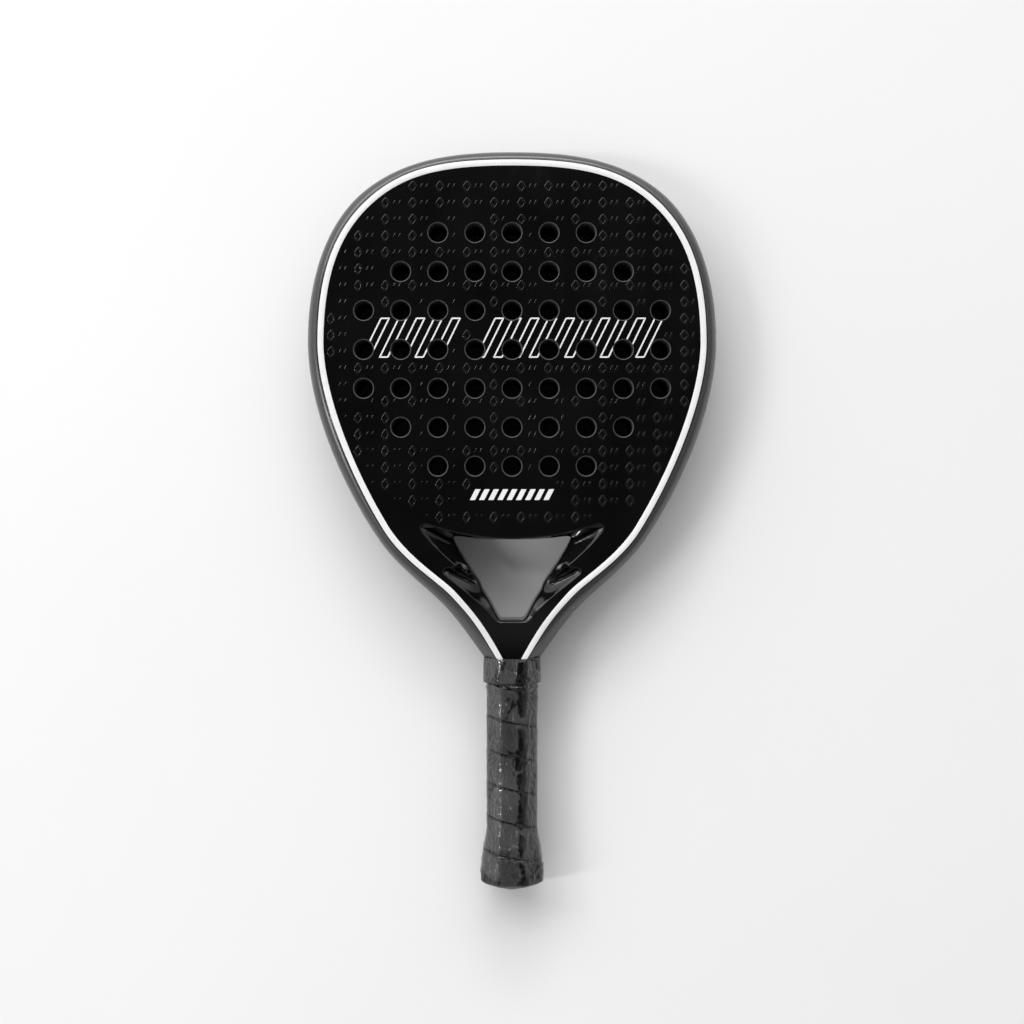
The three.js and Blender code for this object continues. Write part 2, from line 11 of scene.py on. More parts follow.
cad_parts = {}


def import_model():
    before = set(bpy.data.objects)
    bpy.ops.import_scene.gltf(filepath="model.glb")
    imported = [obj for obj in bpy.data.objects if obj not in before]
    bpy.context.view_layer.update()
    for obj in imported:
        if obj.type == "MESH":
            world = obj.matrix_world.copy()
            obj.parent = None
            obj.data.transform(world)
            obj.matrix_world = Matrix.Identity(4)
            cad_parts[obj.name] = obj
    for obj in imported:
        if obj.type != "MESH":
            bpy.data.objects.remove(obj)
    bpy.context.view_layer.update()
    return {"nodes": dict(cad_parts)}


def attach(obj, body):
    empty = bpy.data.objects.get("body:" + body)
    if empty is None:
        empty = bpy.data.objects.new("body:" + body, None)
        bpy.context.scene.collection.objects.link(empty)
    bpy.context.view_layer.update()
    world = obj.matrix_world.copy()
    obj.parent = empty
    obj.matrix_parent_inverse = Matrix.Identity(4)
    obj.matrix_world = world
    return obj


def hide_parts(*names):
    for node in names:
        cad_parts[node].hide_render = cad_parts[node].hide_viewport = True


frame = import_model()

# Sizes are in millimetres and become metres when a mesh is made. Materials, lights and the camera
# are in metres.
MM = 0.001
THICKNESS = 38.0
MID_Z = THICKNESS / 2

# Half outlines from the crown to the collar, as chains of cubic Bezier segments.
SILHOUETTE = [
    (0, 227.5), (39.7, 227.5), (66.8, 222.1), (89.6, 204.7),
    (113.8, 186.1), (125.9, 150.8), (125.9, 111.2),
    (125.9, 66.1), (100.9, 16.3), (82, -11.3),
    (71.4, -26.7), (55.2, -38.7), (44.9, -48.8),
    (33.4, -60), (26.3, -71.5), (16.7, -84.4),
]
BORDER_EDGE = [
    (0, 220.5), (39.9, 220.5), (63.7, 215.9), (84, 199.5),
    (108.4, 179.7), (118.4, 150.8), (118.4, 109.4),
    (118.4, 70.1), (91.8, 16.1), (77.3, -6.3),
    (65.9, -24), (47.3, -34.8), (38, -44.3),
    (23.2, -59.6), (19.1, -67.4), (9.1, -84.4),
]
OUTLINE_STEPS = 30  # per Bezier segment

FACE_THICK = 1.2
FACE_MARGIN = 0.8  # how far a face reaches out past the border's outer edge
FACE_END = (8.4, -88.0)  # the right corner where a face ends under the collar
FACE_GRID = 4.0
BORDER_WIDTH = 3.65
BORDER_RAISE = 0.03
BORDER_FOOT = -0.25

HOLE_ROWS = (5, 7, 9, 9, 9, 7, 5)
HOLE_PITCH = (22.6, 23.7)
HOLE_CENTRE_Y = 104.9
HOLE_RADIUS = 5.75
HOLE_SIDES = 40
HOLE_EDGE = 0.65  # how far the drilled edges are rounded
HOLE_RIM = HOLE_RADIUS + HOLE_EDGE

# The arc over the throat, which the textured sheet ends on.
ARC_CENTRE_Y = 148.4
ARC_RADIUS = 159.0
ARC_TIP_X = 53.0

# The head keeps its full thickness down to the first y and thins to a share of it at the second.
TAPER_Y = (-35.0, -90.0)
TAPER_END = 0.735

GRIP_HALF = (15.3, 13.75)
GRIP_BEVEL = 8.03
BEVEL_GROWTH = 0.586  # keeps the facets' directions when the octagon is offset
FLARE = [  # how far the handle has widened, as (y, offset)
    (-190, 0), (-196, 0.7), (-200.6, 1.8), (-205.6, 2.4),
    (-210.6, 3.1), (-215.6, 3.7), (-220.8, 3.75),
]
TAPE_PITCH = 20.6
TAPE_SEAM_Y = -118.0  # where a seam of the cushion tape crosses the left side of the handle

RELIEF_HEIGHT = 0.12
RELIEF_FOOT = -0.02
RELIEF_LEAN = np.array([-0.25, 0.17])  # the raised texture leans this way, so that side is steeper
FLOOR_Z = -0.3


def smoothstep(t):
    t = np.clip(t, 0, 1)
    return t * t * (3 - 2 * t)


def taper(y):
    """The racket's thickness at y, as a share of the full thickness."""
    return 1 - (1 - TAPER_END) * smoothstep((TAPER_Y[0] - y) / (TAPER_Y[0] - TAPER_Y[1]))


def with_taper(points):
    points = np.array(points, float)
    points[:, 2] = MID_Z + (points[:, 2] - MID_Z) * taper(points[:, 1])
    return points


def as_it_is(shape):
    return shape


def turned_over(shape):
    """The same (points, faces) on the back face: a half turn about the long axis."""
    points, faces = shape
    return np.column_stack([-points[:, 0], points[:, 1], THICKNESS - points[:, 2]]), faces


# The two sides of the racket, with what brings a shape of the front to each.
SIDES = (("front", as_it_is), ("back", turned_over))


# ---- meshes ----


def weld(mesh, distance):
    """Joins vertices that lie on each other, so that shading runs on across the seam."""
    work = bmesh.new()
    work.from_mesh(mesh)
    bmesh.ops.remove_doubles(work, verts=work.verts, dist=distance * MM)
    bmesh.ops.recalc_face_normals(work, faces=work.faces)
    work.to_mesh(mesh)
    work.free()


def make_piece(name, shape, material, crease=None, replaces=None, weld_within=0.01):
    """A mesh object from (points, faces) in millimetres, riding on the one rigid body."""
    points, faces = shape
    mesh = bpy.data.meshes.new(name)
    mesh.from_pydata((np.asarray(points, float) * MM).tolist(), [], [tuple(f) for f in faces])
    mesh.validate()
    mesh.shade_smooth()
    if crease:
        mesh.set_sharp_from_angle(angle=math.radians(crease))
    mesh.materials.append(material)
    piece = bpy.data.objects.new(name, mesh)
    bpy.context.scene.collection.objects.link(piece)
    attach(piece, "root")
    if replaces:
        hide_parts(replaces)
    if weld_within:
        weld(mesh, weld_within)
    return piece


def at_height(flat, z):
    """Flat points, lifted to a height."""
    return np.column_stack([flat, np.full(len(flat), z)])


def joined(*parts):
    """Several (points, faces) lists as one."""
    points, faces, first = [], [], 0
    for p, f in parts:
        points.append(np.asarray(p, float))
        faces.extend([tuple(i + first for i in face) for face in f])
        first += len(p)
    return np.vstack(points), faces


def skin(rings, wrap_rings=False, caps=False):
    """Quads through rings with equal numbers of points; each ring is closed."""
    rings = np.asarray(rings, float)
    count, size = rings.shape[:2]
    faces = []
    for r in range(count if wrap_rings else count - 1):
        a, b = r * size, ((r + 1) % count) * size
        faces += [(a + k, a + (k + 1) % size, b + (k + 1) % size, b + k) for k in range(size)]
    if caps:
        faces.append(tuple(range(size - 1, -1, -1)))
        faces.append(tuple((count - 1) * size + k for k in range(size)))
    return rings.reshape(-1, 3), faces


def signed_area(loop):
    x, y = loop[:, 0], loop[:, 1]
    return 0.5 * float(np.sum(x * np.roll(y, -1) - np.roll(x, -1) * y))


def anticlockwise(loop):
    return loop if signed_area(loop) > 0 else loop[::-1]


def offset_loop(loop, distance):
    """A closed loop moved to its left, which is inwards on a loop that runs anticlockwise."""
    before, after = np.roll(loop, 1, axis=0), np.roll(loop, -1, axis=0)
    along = after - before
    along /= np.linalg.norm(along, axis=1, keepdims=True)
    return loop + np.column_stack([-along[:, 1], along[:, 0]]) * distance


def inside(points, loop):
    """Which points lie inside a closed loop."""
    result = np.zeros(len(points), bool)
    px, py = points[:, 0], points[:, 1]
    for (x0, y0), (x1, y1) in zip(loop, np.roll(loop, -1, axis=0)):
        if y0 == y1:
            continue
        crosses = (y0 > py) != (y1 > py)
        result ^= crosses & (px < (x1 - x0) * (py - y0) / (y1 - y0) + x0)
    return result


def fill(loops, keep, extra=()):
    """Triangles between loops, with extra points among them; keep(centres) says which to keep."""
    points = [Vector(p) for group in (*loops, extra) for p in group]
    edges, first = [], 0
    for loop in loops:
        n = len(loop)
        edges += [(first + i, first + (i + 1) % n) for i in range(n)]
        first += n
    made, _, triangles, *_ = delaunay_2d_cdt(points, edges, [], 0, 1e-5)
    made = np.array([tuple(p) for p in made])
    triangles = np.array(triangles)
    triangles = triangles[keep(made[triangles].mean(axis=1))]
    return made, triangles


def circle(x, y, radius, sides, clockwise=False):
    angle = np.linspace(0, 2 * math.pi, sides, endpoint=False)
    if clockwise:
        angle = -angle
    return np.column_stack([x + radius * np.cos(angle), y + radius * np.sin(angle)])


def rounded_corners(corners, radius, steps=5):
    """A closed loop with each corner replaced by a curve that starts up to a radius before it."""
    corners = [np.array(c, float) for c in corners]
    loop = []
    for i, corner in enumerate(corners):
        to_last, to_next = corners[i - 1] - corner, corners[(i + 1) % len(corners)] - corner
        last_length, next_length = np.linalg.norm(to_last), np.linalg.norm(to_next)
        r = min(radius, 0.45 * last_length, 0.45 * next_length)
        a = corner + to_last / last_length * r
        b = corner + to_next / next_length * r
        for t in np.linspace(0, 1, steps + 1):
            loop.append((1 - t) ** 2 * a + 2 * (1 - t) * t * corner + t * t * b)
    return np.array(loop)


def grid_points(across, along, step):
    """Points of a square grid between the ends given for x and for y."""
    gx, gy = np.meshgrid(np.arange(*across, step), np.arange(*along, step))
    return np.column_stack([gx.ravel(), gy.ravel()])


def finer(loop, longest):
    """A closed loop with its long sides divided."""
    out = []
    for a, b in zip(loop, np.roll(loop, -1, axis=0)):
        n = max(1, math.ceil(np.linalg.norm(b - a) / longest))
        out += [a + (b - a) * k / n for k in range(n)]
    return np.array(out)


# ---- outlines ----


def bezier_points(chain):
    pieces = []
    for i in range(0, len(chain) - 3, 3):
        a, b, c, d = (np.array(p, float) for p in chain[i : i + 4])
        t = np.linspace(0, 1, OUTLINE_STEPS + 1)[1 if i else 0 :, None]
        s = 1 - t
        pieces.append(s**3 * a + 3 * s**2 * t * b + 3 * s * t * t * c + t**3 * d)
    return np.vstack(pieces)


half_rim = bezier_points(SILHOUETTE)
half_border = bezier_points(BORDER_EDGE)
half_inward = half_border - half_rim
half_depth = np.linalg.norm(half_inward, axis=1)
half_inward /= half_depth[:, None]


def half_line(inset):
    """The half outline that runs a distance inside the border's outer edge."""
    return half_rim + half_inward * (half_depth + inset)[:, None]


def both_sides(half):
    """The whole line, from the left collar over the crown to the right, of a half line."""
    return np.vstack([half[:0:-1] * (-1, 1), half])


hole_centres = [
    ((i - (count - 1) / 2) * HOLE_PITCH[0], HOLE_CENTRE_Y + (3 - row) * HOLE_PITCH[1])
    for row, count in enumerate(HOLE_ROWS)
    for i in range(count)
]


def off_holes(points, radius, holes=hole_centres):
    """Which points lie farther than a radius from the middle of every hole."""
    off = np.ones(len(points), bool)
    for x, y in holes:
        off &= np.hypot(points[:, 0] - x, points[:, 1] - y) > radius
    return off


# Half of the cut-out in each face over the throat: an arc, then two stepped gills on each side.
CUTOUT = [
    (55.6, -3.2), (54.9, -5.4), (48.4, -13.1), (39, -22), (31.5, -28.4),
    (36.5, -28), (41, -28.9), (41.9, -31), (35.3, -36.4), (28.5, -41.8),
    (21.8, -47.6), (14.5, -54.4), (12.3, -57.8), (8.7, -61.3),
]
# Half of the opening through the throat bridge.
OPENING = [
    (0, -11.3), (12, -11), (24, -10.2), (34, -8.9), (36.5, -9.6), (36.3, -10.6), (34.1, -15.1),
    (28.8, -23.8), (22.9, -32.6), (19.5, -37.6), (17.9, -42), (13.7, -48.6), (8.9, -57.8),
    (7.2, -60.5),
]
THROAT_ROUND = 1.6
THROAT_STEP = 0.7


def arc_y(x):
    return ARC_CENTRE_Y - math.sqrt(ARC_RADIUS * ARC_RADIUS - x * x)


def mirrored_loop(half):
    """A closed loop from its right half, which starts on the centre line, with softened corners."""
    left = [(-x, y) for x, y in reversed(half) if x > 0]
    return anticlockwise(finer(rounded_corners(half + left, THROAT_ROUND), THROAT_STEP))


arc_points = [(x, arc_y(x)) for x in np.linspace(0, ARC_TIP_X, 24)]
cutout_loop = mirrored_loop(arc_points + CUTOUT)
opening_loop = mirrored_loop(OPENING)


# ---- materials ----


def ramp_node(tree, value, stops):
    """A value sent through a ramp of (position, grey or colour) stops."""
    node = tree.nodes.new("ShaderNodeValToRGB")
    elements = node.color_ramp.elements
    while len(elements) < len(stops):
        elements.new(0.5)
    for element, (position, colour) in zip(elements, stops):
        element.position = position
        rgb = colour if isinstance(colour, tuple) else (colour,) * 3
        element.color = (*rgb, 1)
    tree.links.new(value, node.inputs[0])
    return node.outputs[0]


def math_node(tree, operation, a, b=0.0):
    """A calculation on two numbers or outputs of nodes."""
    node = tree.nodes.new("ShaderNodeMath")
    node.operation = operation
    for socket, value in zip(node.inputs, (a, b)):
        if isinstance(value, (int, float)):
            socket.default_value = value
        else:
            tree.links.new(value, socket)
    return node.outputs[0]


class Nodes:
    """A small helper for building a material's nodes."""

    def __init__(self, name):
        self.material = bpy.data.materials.new(name)
        self.material.use_nodes = True
        self.tree = self.material.node_tree
        self.tree.nodes.clear()
        self.shader = self.tree.nodes.new("ShaderNodeBsdfPrincipled")
        out = self.tree.nodes.new("ShaderNodeOutputMaterial")
        self.link(self.shader.outputs[0], out.inputs[0])
        self.coords = self.tree.nodes.new("ShaderNodeTexCoord").outputs["Object"]

    def link(self, source, target):
        self.tree.links.new(source, target)

    def set(self, **values):
        """Sets sockets of the shader, named with underscores for their spaces."""
        for key, value in values.items():
            self.shader.inputs[key.replace("_", " ")].default_value = value

    def stretched(self, scale, rotation=(0, 0, 0)):
        node = self.tree.nodes.new("ShaderNodeMapping")
        node.inputs["Scale"].default_value = scale
        node.inputs["Rotation"].default_value = rotation
        self.link(self.coords, node.inputs["Vector"])
        return node.outputs[0]

    def noise(self, scale, detail=3, roughness=0.5, coords=None, distortion=0):
        node = self.tree.nodes.new("ShaderNodeTexNoise")
        node.inputs["Scale"].default_value = scale
        node.inputs["Detail"].default_value = detail
        node.inputs["Roughness"].default_value = roughness
        node.inputs["Distortion"].default_value = distortion
        self.link(coords or self.coords, node.inputs["Vector"])
        return node.outputs[0]

    def cells(self, scale, feature="F1", coords=None):
        node = self.tree.nodes.new("ShaderNodeTexVoronoi")
        node.feature = feature
        node.inputs["Scale"].default_value = scale
        self.link(coords or self.coords, node.inputs["Vector"])
        return node.outputs["Distance"]

    def ramp(self, value, stops):
        return ramp_node(self.tree, value, stops)

    def vary(self, socket, value, stops):
        """Drives a socket of the shader through a ramp."""
        self.link(self.ramp(value, stops), self.shader.inputs[socket])

    def math(self, operation, a, b=0.0):
        return math_node(self.tree, operation, a, b)

    def bump(self, height, strength, distance):
        """Adds a bump on top of those that the shader has."""
        node = self.tree.nodes.new("ShaderNodeBump")
        node.inputs["Strength"].default_value = strength
        node.inputs["Distance"].default_value = distance
        self.link(height, node.inputs["Height"])
        previous = self.shader.inputs["Normal"]
        if previous.is_linked:
            self.link(previous.links[0].from_socket, node.inputs["Normal"])
        self.link(node.outputs[0], self.shader.inputs["Normal"])


def lacquer_material():
    """Black gloss lacquer: nearly smooth, with faint orange peel, haze and handling marks."""
    n = Nodes("black_lacquer")
    n.set(Specular_IOR_Level=0.5, IOR=1.5)
    haze = n.noise(22, 4, 0.55)
    n.vary("Base Color", haze, [(0.35, (0.0022, 0.0022, 0.0024)), (0.75, (0.0045, 0.0045, 0.0047))])
    smudge = n.noise(60, 5, 0.6, n.stretched((1, 0.35, 1), (0, 0, 0.7)))
    n.vary("Roughness", smudge, [(0.35, 0.09), (0.62, 0.13), (0.8, 0.24)])
    n.bump(n.noise(650, 2, 0.4), 0.06, 0.0003)
    return n.material


def rim_material():
    """Satin grey paint with metallic grain and slightly rubbed patches."""
    n = Nodes("grey_rim_paint")
    n.set(Metallic=0.65)
    grain = n.noise(2600, 2, 0.6)
    n.vary("Base Color", grain, [(0.3, (0.066, 0.067, 0.068)), (0.7, (0.1, 0.101, 0.103))])
    worn = n.noise(45, 5, 0.6)
    n.vary("Roughness", worn, [(0.3, 0.26), (0.7, 0.33)])
    n.bump(n.noise(900, 2, 0.5), 0.08, 0.0002)
    return n.material


def edge_sheen_material():
    """The drilled edge of a face: dull grey with fine layers, the grey a painted sheen for the light
    its rounding catches.
    """
    n = Nodes("hole_edge_painted_sheen")
    n.set(Specular_IOR_Level=0.4)
    layers = n.noise(500, 3, 0.6, n.stretched((1, 1, 6)))
    # The grey paints the sheen of the rounded edge; the layers only vary it.
    n.vary("Base Color", layers, [(0.3, (0.03, 0.03, 0.031)), (0.7, (0.07, 0.07, 0.072))])
    n.vary("Roughness", layers, [(0.3, 0.35), (0.7, 0.6)])
    n.bump(n.noise(1500, 2, 0.6), 0.2, 0.0002)
    return n.material


def print_material(name, low, high):
    """White print under the lacquer, with the slight unevenness of a screened ink."""
    n = Nodes(name)
    n.set(Specular_IOR_Level=0.5)
    ink = n.noise(180, 4, 0.6)
    n.vary("Base Color", ink, [(0.3, low), (0.7, high)])
    n.vary("Roughness", n.noise(80, 3, 0.5), [(0.3, 0.2), (0.7, 0.34)])
    n.bump(n.noise(700, 2, 0.5), 0.05, 0.0002)
    return n.material


def foam_material():
    """Closed-cell foam, cut or drilled: dull and finely pitted."""
    n = Nodes("cut_foam")
    n.set(Roughness=0.85, Specular_IOR_Level=0.25)
    pits = n.cells(900)
    n.vary("Base Color", pits, [(0.1, (0.012, 0.012, 0.0125)), (0.5, (0.035, 0.035, 0.036))])
    n.bump(pits, 0.6, 0.0006)
    return n.material


def laminate_material():
    """Bare woven laminate, seen only where the grip is taken off."""
    n = Nodes("bare_laminate")
    n.set(Roughness=0.45)
    wave = n.tree.nodes.new("ShaderNodeTexWave")
    wave.inputs["Scale"].default_value = 240
    n.link(n.stretched((1, 1, 1), (0, 0, math.pi / 4)), wave.inputs["Vector"])
    weave = wave.outputs["Fac"]
    n.vary("Base Color", weave, [(0.3, (0.008, 0.008, 0.009)), (0.7, (0.035, 0.035, 0.037))])
    n.bump(weave, 0.3, 0.0003)
    return n.material


def grip_material():
    """Cushion tape: matt polyurethane with a fine leather-like grain."""
    n = Nodes("cushion_tape")
    n.set(Roughness=0.62, Specular_IOR_Level=0.4)
    tone = n.noise(70, 5, 0.6)
    n.vary("Base Color", tone, [(0.3, (0.018, 0.018, 0.019)), (0.75, (0.034, 0.034, 0.035))])
    n.bump(n.cells(1100), 0.25, 0.0004)
    n.bump(n.noise(300, 4, 0.6), 0.2, 0.0005)
    return n.material


def rubber_material(name, low, high, roughness):
    """Moulded rubber or plastic with a fine spark-eroded texture."""
    n = Nodes(name)
    n.set(Specular_IOR_Level=0.4)
    n.vary("Base Color", n.noise(120, 4, 0.6), [(0.3, low), (0.7, high)])
    wear = n.noise(400, 3, 0.6)
    n.vary("Roughness", wear, [(0.3, roughness - 0.06), (0.7, roughness + 0.08)])
    n.bump(n.noise(1800, 2, 0.6), 0.2, 0.0002)
    return n.material


def film_material():
    """Clear film: glossy, crinkled, milky over air, dark where it clings, with painted shade on the
    tape's seams.
    """
    n = Nodes("clear_film")
    n.set(Alpha=0.66, Specular_IOR_Level=0.6, Coat_Weight=0.4, Coat_Roughness=0.03)
    split = n.tree.nodes.new("ShaderNodeSeparateXYZ")
    n.link(n.coords, split.inputs[0])
    across, along, up = split.outputs

    # Clinging patches gather along the right edge of the front facet and at both ends.
    from_edge = n.math("ABSOLUTE", n.math("SUBTRACT", across, 0.0062))
    near_edge = n.ramp(n.math("MULTIPLY", from_edge, 100.0), [(0.1, 0.17), (0.42, 0.0)])
    up_handle = n.math("MULTIPLY", n.math("ADD", along, 0.23), 6.0)
    near_ends = n.ramp(up_handle, [(0.06, 0.09), (0.2, 0.0), (0.74, 0.0), (0.82, 0.05)])
    blots = n.noise(95, 6, 0.6, n.stretched((1, 0.7, 1)), 0.6)
    cling = n.math("ADD", n.math("ADD", blots, near_edge), near_ends)

    # The tape's seams run round the handle as a spiral, as in seam_phase; painted shade darkens
    # them.
    height = n.math("SUBTRACT", up, MID_Z * MM)
    turn = n.math("DIVIDE", n.math("ARCTAN2", across, height), 2 * math.pi)
    rise = n.math("DIVIDE", n.math("SUBTRACT", TAPE_SEAM_Y * MM, along), TAPE_PITCH * MM)
    wander = n.math("MULTIPLY", n.math("SUBTRACT", n.noise(60, 3), 0.5), 0.05)
    turns = n.math("SUBTRACT", n.math("SUBTRACT", rise, turn), 0.25)
    phase = n.math("FRACT", n.math("ADD", turns, wander))
    seam = n.ramp(phase, [(0.0, 1.0), (0.035, 1.0), (0.065, 0.0), (0.965, 0.0), (0.985, 0.9)])
    # The seams' painted shade joins the darker clinging patches.
    dark = n.math("MAXIMUM", n.ramp(cling, [(0.6, 0.0), (0.67, 1.0)]), seam)
    tone = n.math("SUBTRACT", n.noise(40, 4, 0.6), n.math("MULTIPLY", dark, 0.7))
    dark_to_milky = [
        (0.0, (0.004, 0.004, 0.004)),
        (0.3, (0.04, 0.04, 0.041)),
        (0.5, (0.07, 0.071, 0.072)),
        (0.7, (0.09, 0.091, 0.093)),
    ]
    n.vary("Base Color", tone, dark_to_milky)
    n.vary("Roughness", n.noise(150, 4, 0.6), [(0.3, 0.05), (0.7, 0.17)])
    folds = n.cells(150, "DISTANCE_TO_EDGE", n.stretched((1, 0.5, 1)))
    n.bump(n.ramp(folds, [(0.0, 1.0), (0.05, 0.0)]), 0.3, 0.0005)
    n.bump(n.noise(420, 3, 0.5, distortion=0.6), 0.35, 0.0005)
    return n.material


def steel_material():
    """Drawn steel wire, finely scratched along its length."""
    n = Nodes("staple_wire")
    n.set(Metallic=1.0)
    scratches = n.noise(900, 3, 0.6, n.stretched((0.1, 1, 1)))
    n.vary("Base Color", scratches, [(0.3, (0.45, 0.45, 0.46)), (0.7, (0.62, 0.62, 0.63))])
    n.vary("Roughness", scratches, [(0.3, 0.25), (0.7, 0.42)])
    return n.material


LACQUER = lacquer_material()
RIM_PAINT = rim_material()
EDGE_SHEEN_GREY = edge_sheen_material()
BORDER_WHITE = print_material("border_white", (0.8, 0.8, 0.79), (0.87, 0.87, 0.86))
PRINT_WHITE = print_material("print_white", (0.78, 0.78, 0.77), (0.88, 0.88, 0.87))
FOAM = foam_material()
LAMINATE = laminate_material()
GRIP = grip_material()
COLLAR = rubber_material("collar_rubber", (0.014, 0.014, 0.0145), (0.024, 0.024, 0.025), 0.5)
CAP = rubber_material("cap_plastic", (0.012, 0.012, 0.0125), (0.02, 0.02, 0.021), 0.4)
TAPE = rubber_material("vinyl_tape", (0.012, 0.012, 0.0125), (0.018, 0.018, 0.019), 0.32)
FILM = film_material()
STEEL = steel_material()


# ---- faces ----

EDGE_FLAT = 0.45  # the flat ring inside a rounded edge, which keeps its shading off the flat
OUTLINE_ROUND = 0.6
CUTOUT_ROUND = 0.9
SHEET_SEAM_X = (59.0, 101.5)


def edge_profile(radius, steps=5):
    """Rings from the flat top to the foot of a plate's edge, as (distance in, drop)."""
    rings = [(radius + EDGE_FLAT, 0.0)]
    for k in range(steps + 1):
        angle = math.pi / 2 * k / steps
        rings.append((radius * (1 - math.sin(angle)), radius * (1 - math.cos(angle))))
    rings.append((0.0, FACE_THICK))
    return rings


def edge_rings(loop, profile):
    return [at_height(offset_loop(loop, away), THICKNESS - drop) for away, drop in profile]


def hole_loop(x, y, radius=HOLE_RADIUS):
    return circle(x, y, radius, HOLE_SIDES, clockwise=True)


def face_plate():
    """Both sheets of a face: a plate with rounded edges round its outline and its cut-out."""
    end_x, end_y = FACE_END
    outline = np.vstack([both_sides(half_line(-FACE_MARGIN)), [(end_x, end_y), (-end_x, end_y)]])
    outline = anticlockwise(outline)
    flat_loops, parts = [], []
    for loop, radius in ((outline, OUTLINE_ROUND), (cutout_loop[::-1], CUTOUT_ROUND)):
        rings = edge_rings(loop, edge_profile(radius))
        flat_loops.append(rings[0][:, :2])
        parts.append(skin(rings))
    outer, cutout = flat_loops
    flat_loops += [hole_loop(x, y, HOLE_RIM) for x, y in hole_centres]

    # The line where the textured sheet over the head meets the smooth sheet of the throat.
    seam = np.array([(x, arc_y(x)) for x in np.linspace(*SHEET_SEAM_X, 40)])

    # Points over the throat and the arms, where the face bends back with the taper.
    grid = grid_points((-86, 87), (-84, 12), FACE_GRID)
    near_cutout = inside(grid, offset_loop(cutout[::-1], -2))
    grid = grid[inside(grid, offset_loop(outer, 2)) & ~near_cutout]

    def kept(centres):
        between = inside(centres, outer) & ~inside(centres, cutout)
        return between & off_holes(centres, HOLE_RIM - 0.04)

    flat, triangles = fill(flat_loops, kept, np.vstack([grid, seam, seam * (-1, 1)]))
    parts.append((at_height(flat, THICKNESS), triangles.tolist()))
    return joined(*parts)


def hole_edges():
    """The rounded, bare edges of all the holes in a face."""
    profile = [(HOLE_EDGE, 0.0)] + edge_profile(HOLE_EDGE)[2:]
    return joined(*[skin(edge_rings(hole_loop(x, y), profile)) for x, y in hole_centres])


def used_only(points, faces):
    """Drops the points that no face uses."""
    used = sorted({i for face in faces for i in face})
    new = {old: k for k, old in enumerate(used)}
    return points[used], [tuple(new[i] for i in face) for face in faces]


def without_slivers(points, triangles):
    """Drops the triangles of no area that lie along straight edges."""
    a, b, c = (points[triangles[:, k]] for k in range(3))
    twice_area = (b - a)[:, 0] * (c - a)[:, 1] - (b - a)[:, 1] * (c - a)[:, 0]
    return triangles[twice_area > 1e-4]


plate_points, plate_faces = face_plate()
plate_middles = np.array([plate_points[list(face)].mean(axis=0) for face in plate_faces])
over_head = np.hypot(plate_middles[:, 0], plate_middles[:, 1] - ARC_CENTRE_Y) < ARC_RADIUS
plate_points = with_taper(plate_points)
head_faces = [face for face, over in zip(plate_faces, over_head) if over]
throat_faces = [face for face, over in zip(plate_faces, over_head) if not over]
sheets = {
    "face": used_only(plate_points, head_faces),
    "throat_skin": used_only(plate_points, throat_faces),
}
edges = hole_edges()
for side, brought in SIDES:
    for part, sheet in sheets.items():
        node = f"{side}_{part}"
        make_piece(node + "_sheet", brought(sheet), LACQUER, 40, node)
    make_piece(side + "_hole_edges", brought(edges), EDGE_SHEEN_GREY, 60)


def border_band():
    """The white border: a thin flush strip with softened sides."""
    path = both_sides(np.vstack([half_line(0), [(7.2, FACE_END[1] + 0.3)]]))
    inward = both_sides(np.vstack([half_inward, half_inward[-1:]]))
    section = [(0, BORDER_FOOT), (0, 0.0), (0.06, BORDER_RAISE)]
    section += [(BORDER_WIDTH - u, h) for u, h in reversed(section)]
    rings = []
    for p, n in zip(path, inward):
        rings.append([(p[0] + n[0] * u, p[1] + n[1] * u, THICKNESS + h) for u, h in section])
    points, faces = skin(rings, caps=True)
    return with_taper(points), faces


band = border_band()
for side, brought in SIDES:
    node = side + "_border_decal"
    make_piece(side + "_border_band", brought(band), BORDER_WHITE, 30, node)


# ---- relief and print ----


def ridge_loop(path, width, crest):
    """A closed raised line with sloping sides on the front face, along a closed path."""
    slopes = [(-width / 2, False), (-crest / 2, True), (crest / 2, True), (width / 2, False)]
    rings = []
    for away, raised in slopes:
        loop = offset_loop(path, away) + RELIEF_LEAN * raised
        rings.append(at_height(loop, THICKNESS + (RELIEF_HEIGHT if raised else RELIEF_FOOT)))
    return skin(rings, wrap_rings=True)


def pad(outline, slope):
    """A small raised pad with sloping sides on the front face."""
    top = offset_loop(outline, slope) + RELIEF_LEAN
    rings = [at_height(outline, THICKNESS + RELIEF_FOOT), at_height(top, THICKNESS + RELIEF_HEIGHT)]
    return skin(rings, caps=True)


def slanted_bar(x, y, width, height, lean, radius, longest):
    low, high = x - lean / 2, x + lean / 2
    corners = [
        (low - width / 2, y - height / 2), (low + width / 2, y - height / 2),
        (high + width / 2, y + height / 2), (high - width / 2, y + height / 2),
    ]
    return finer(rounded_corners(corners, radius, 4), longest)


# A band of outlined slanted bars across the head, in two groups of (left end, bars).
BAND_Y = 112.0
BAND_PITCH = 10.8
BAND_BAR = {"width": 5.9, "height": 24.5, "lean": 12.0, "radius": 0.9, "longest": 1.5}
BAND_GROUPS = ((-92.0, 5), (-22.5, 10))
STROKE = 0.9

# A short row of solid slanted bars below it.
MARK_Y = 16.5
MARK_PITCH = 5.6
MARK_BARS = 9
MARK_BAR = {"width": 3.2, "height": 6.6, "lean": 3.4, "radius": 0.4, "longest": 1.5}
MARK_CLEAR = (31, 6)  # the half size of the plain field round it

PRINT_RAISE = 0.04


